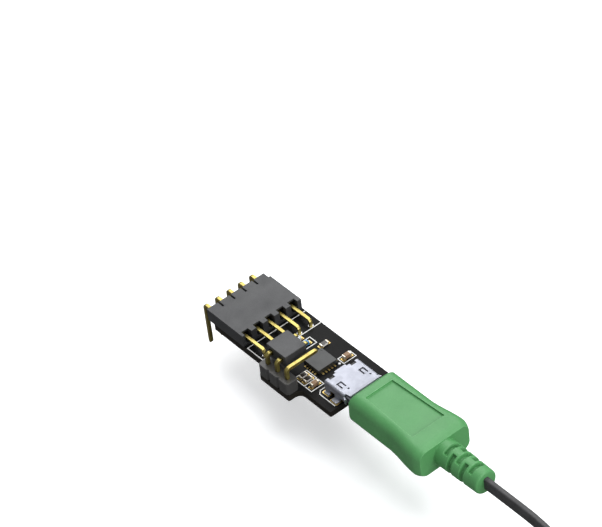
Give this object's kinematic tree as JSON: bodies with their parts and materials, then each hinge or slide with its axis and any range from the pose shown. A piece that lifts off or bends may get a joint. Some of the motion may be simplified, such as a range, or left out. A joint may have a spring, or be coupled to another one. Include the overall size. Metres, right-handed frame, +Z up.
{
  "type": "usb microcontroller programmer",
  "caption": "Small black programming board with a right-angle pin socket, a jumper header, a USB receptacle, and a moulded USB lead plugged into it.",
  "frame": {"origin": "centre of the row of pins, on the breadboard's top surface, where the pins enter it", "axes": "+X along the board towards the USB lead, +Y across it along the row of pins, away from the jumper, +Z up off the breadboard"},
  "size_m": [0.1418, 0.0274, 0.0166],
  "materials": {
    "gold_pin": "bright gold plate",
    "board_black": "satin black solder mask",
    "white_ink": "matt printed ink",
    "gold_land": "dull gold plate",
    "black_housing": "fine-grained moulded nylon",
    "solder": "bright reflowed solder",
    "chip_black": "matt moulded epoxy",
    "clear_lens": "clear resin",
    "blue_lens": "tinted resin",
    "brown_ceramic": "fired ceramic",
    "white_ceramic": "fired alumina",
    "resistor_glaze": "dark glass glaze",
    "tinned_end": "satin tin plate",
    "usb_steel": "bright nickel plate",
    "tongue_black": "moulded liquid crystal polymer",
    "spring_brass": "satin spring bronze",
    "green_grip": "smooth soft PVC",
    "inner_white": "plain polyethylene",
    "plug_steel": "satin nickel plate",
    "white_insulator": "moulded plastic",
    "lead_grey": "soft dark grey PVC",
    "tie_black": "black band"
  },
  "bodies": {
    "pins": {"breadboard_pins": "gold_pin"},
    "board": {"circuit_board": "board_black", "silkscreen": "white_ink", "solder_pads": "gold_land", "socket_housing": "black_housing", "socket_contacts": "gold_pin", "socket_solder": "solder", "header_base": "black_housing", "header_pins": "gold_pin", "header_solder": "solder", "bridge_chip": "chip_black", "chip_terminals": "gold_land", "led_clear": "clear_lens", "led_blue": "blue_lens", "led_terminals": "gold_pin", "capacitor_bodies": "brown_ceramic", "capacitor_ends": "tinned_end", "resistor_bodies": "white_ceramic", "resistor_coats": "resistor_glaze", "resistor_ends": "tinned_end", "receptacle_shell": "usb_steel", "receptacle_tongue": "tongue_black", "receptacle_contacts": "gold_pin"},
    "jumper": {"jumper_housing": "black_housing", "jumper_clip": "spring_brass"},
    "usb_plug": {"plug_grip": "green_grip", "plug_strain_relief": "green_grip", "plug_inner_mould": "inner_white", "plug_shell": "plug_steel", "plug_insulator": "tongue_black", "plug_contacts": "gold_pin", "plug_latches": "plug_steel", "usb_lead": "lead_grey", "lead_hank": "lead_grey", "lead_tail": "lead_grey", "hank_tie": "tie_black", "host_grip": "green_grip", "host_strain_relief": "green_grip", "host_inner_mould": "inner_white", "host_shell": "plug_steel", "host_insulator": "white_insulator", "host_contacts": "gold_pin"}
  },
  "joints": [
    {"name": "board_pull", "type": "slide", "parent": "pins", "child": "board", "axis": [1, 0, 0], "range_m": [0, 0.006]},
    {"name": "plug_pull", "type": "slide", "parent": "board", "child": "usb_plug", "axis": [1, 0, 0], "range_m": [0, 0.0055]},
    {"name": "jumper_pull", "type": "slide", "parent": "board", "child": "jumper", "axis": [0, 1, 0], "range_m": [0, 0.006]}
  ]
}
